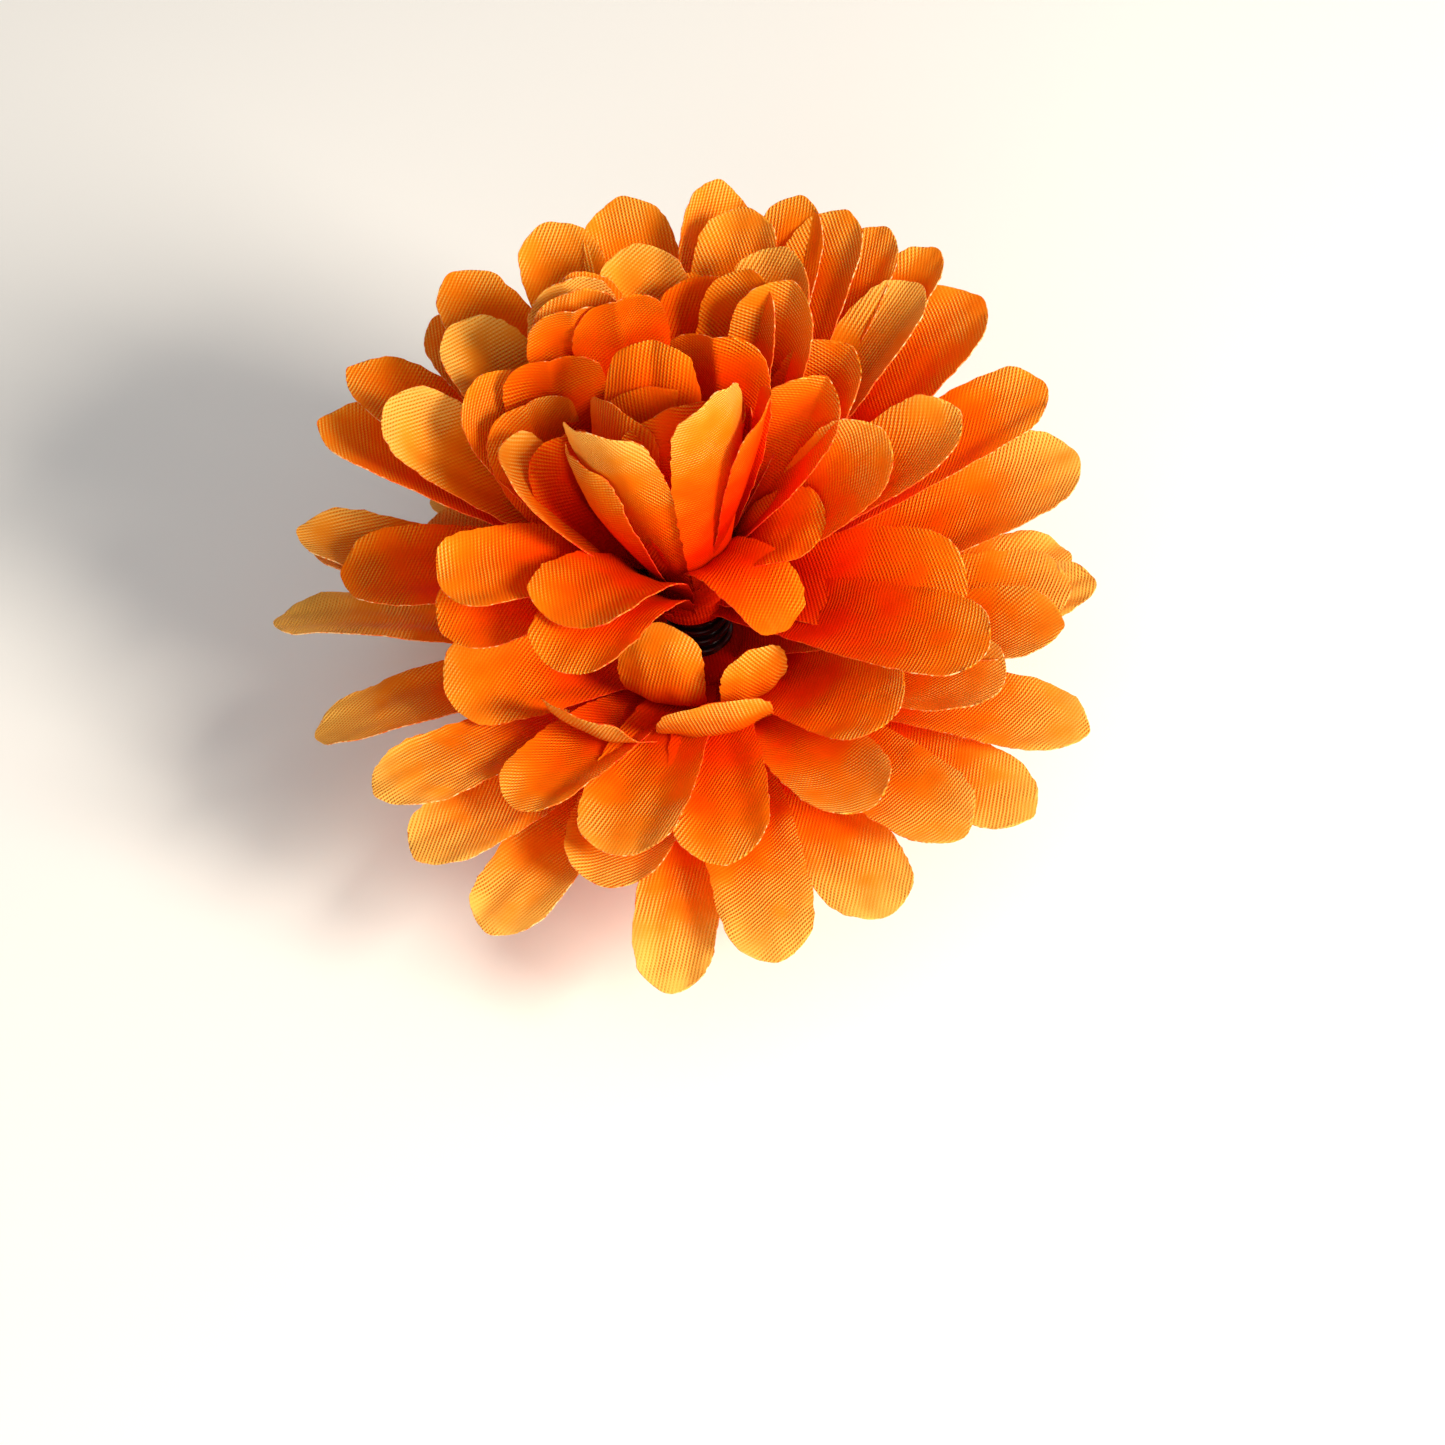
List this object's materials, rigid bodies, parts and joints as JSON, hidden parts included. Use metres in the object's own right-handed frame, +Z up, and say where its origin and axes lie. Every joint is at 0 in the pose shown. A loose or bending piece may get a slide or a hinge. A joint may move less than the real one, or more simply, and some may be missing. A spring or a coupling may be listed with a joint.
{
  "type": "artificial chrysanthemum head",
  "caption": "Artificial chrysanthemum head with a spread skirt and a cupped ball of die-cut woven petals threaded on a plastic post above a footed calyx.",
  "frame": {"origin": "centre of the foot of the calyx, on the surface that it stands on", "axes": "+Z up along the post, from the calyx to the ball; -Y is the side that the picture shows"},
  "size_m": [0.1135, 0.111, 0.076],
  "materials": {
    "calyx_plastic": "injection moulded green polyethylene, slightly satin",
    "petal_fabric": "dyed woven polyester, red-orange at the root to yellow-orange at the tip, fine rib, satin sheen",
    "spacer_plastic": "injection moulded dark maroon plastic, slightly glossy",
    "post_plastic": "injection moulded green plastic"
  },
  "bodies": {
    "root": {"calyx": "calyx_plastic", "lower_petals": "petal_fabric", "spacer": "spacer_plastic", "upper_petals": "petal_fabric", "post": "post_plastic"}
  },
  "joints": []
}
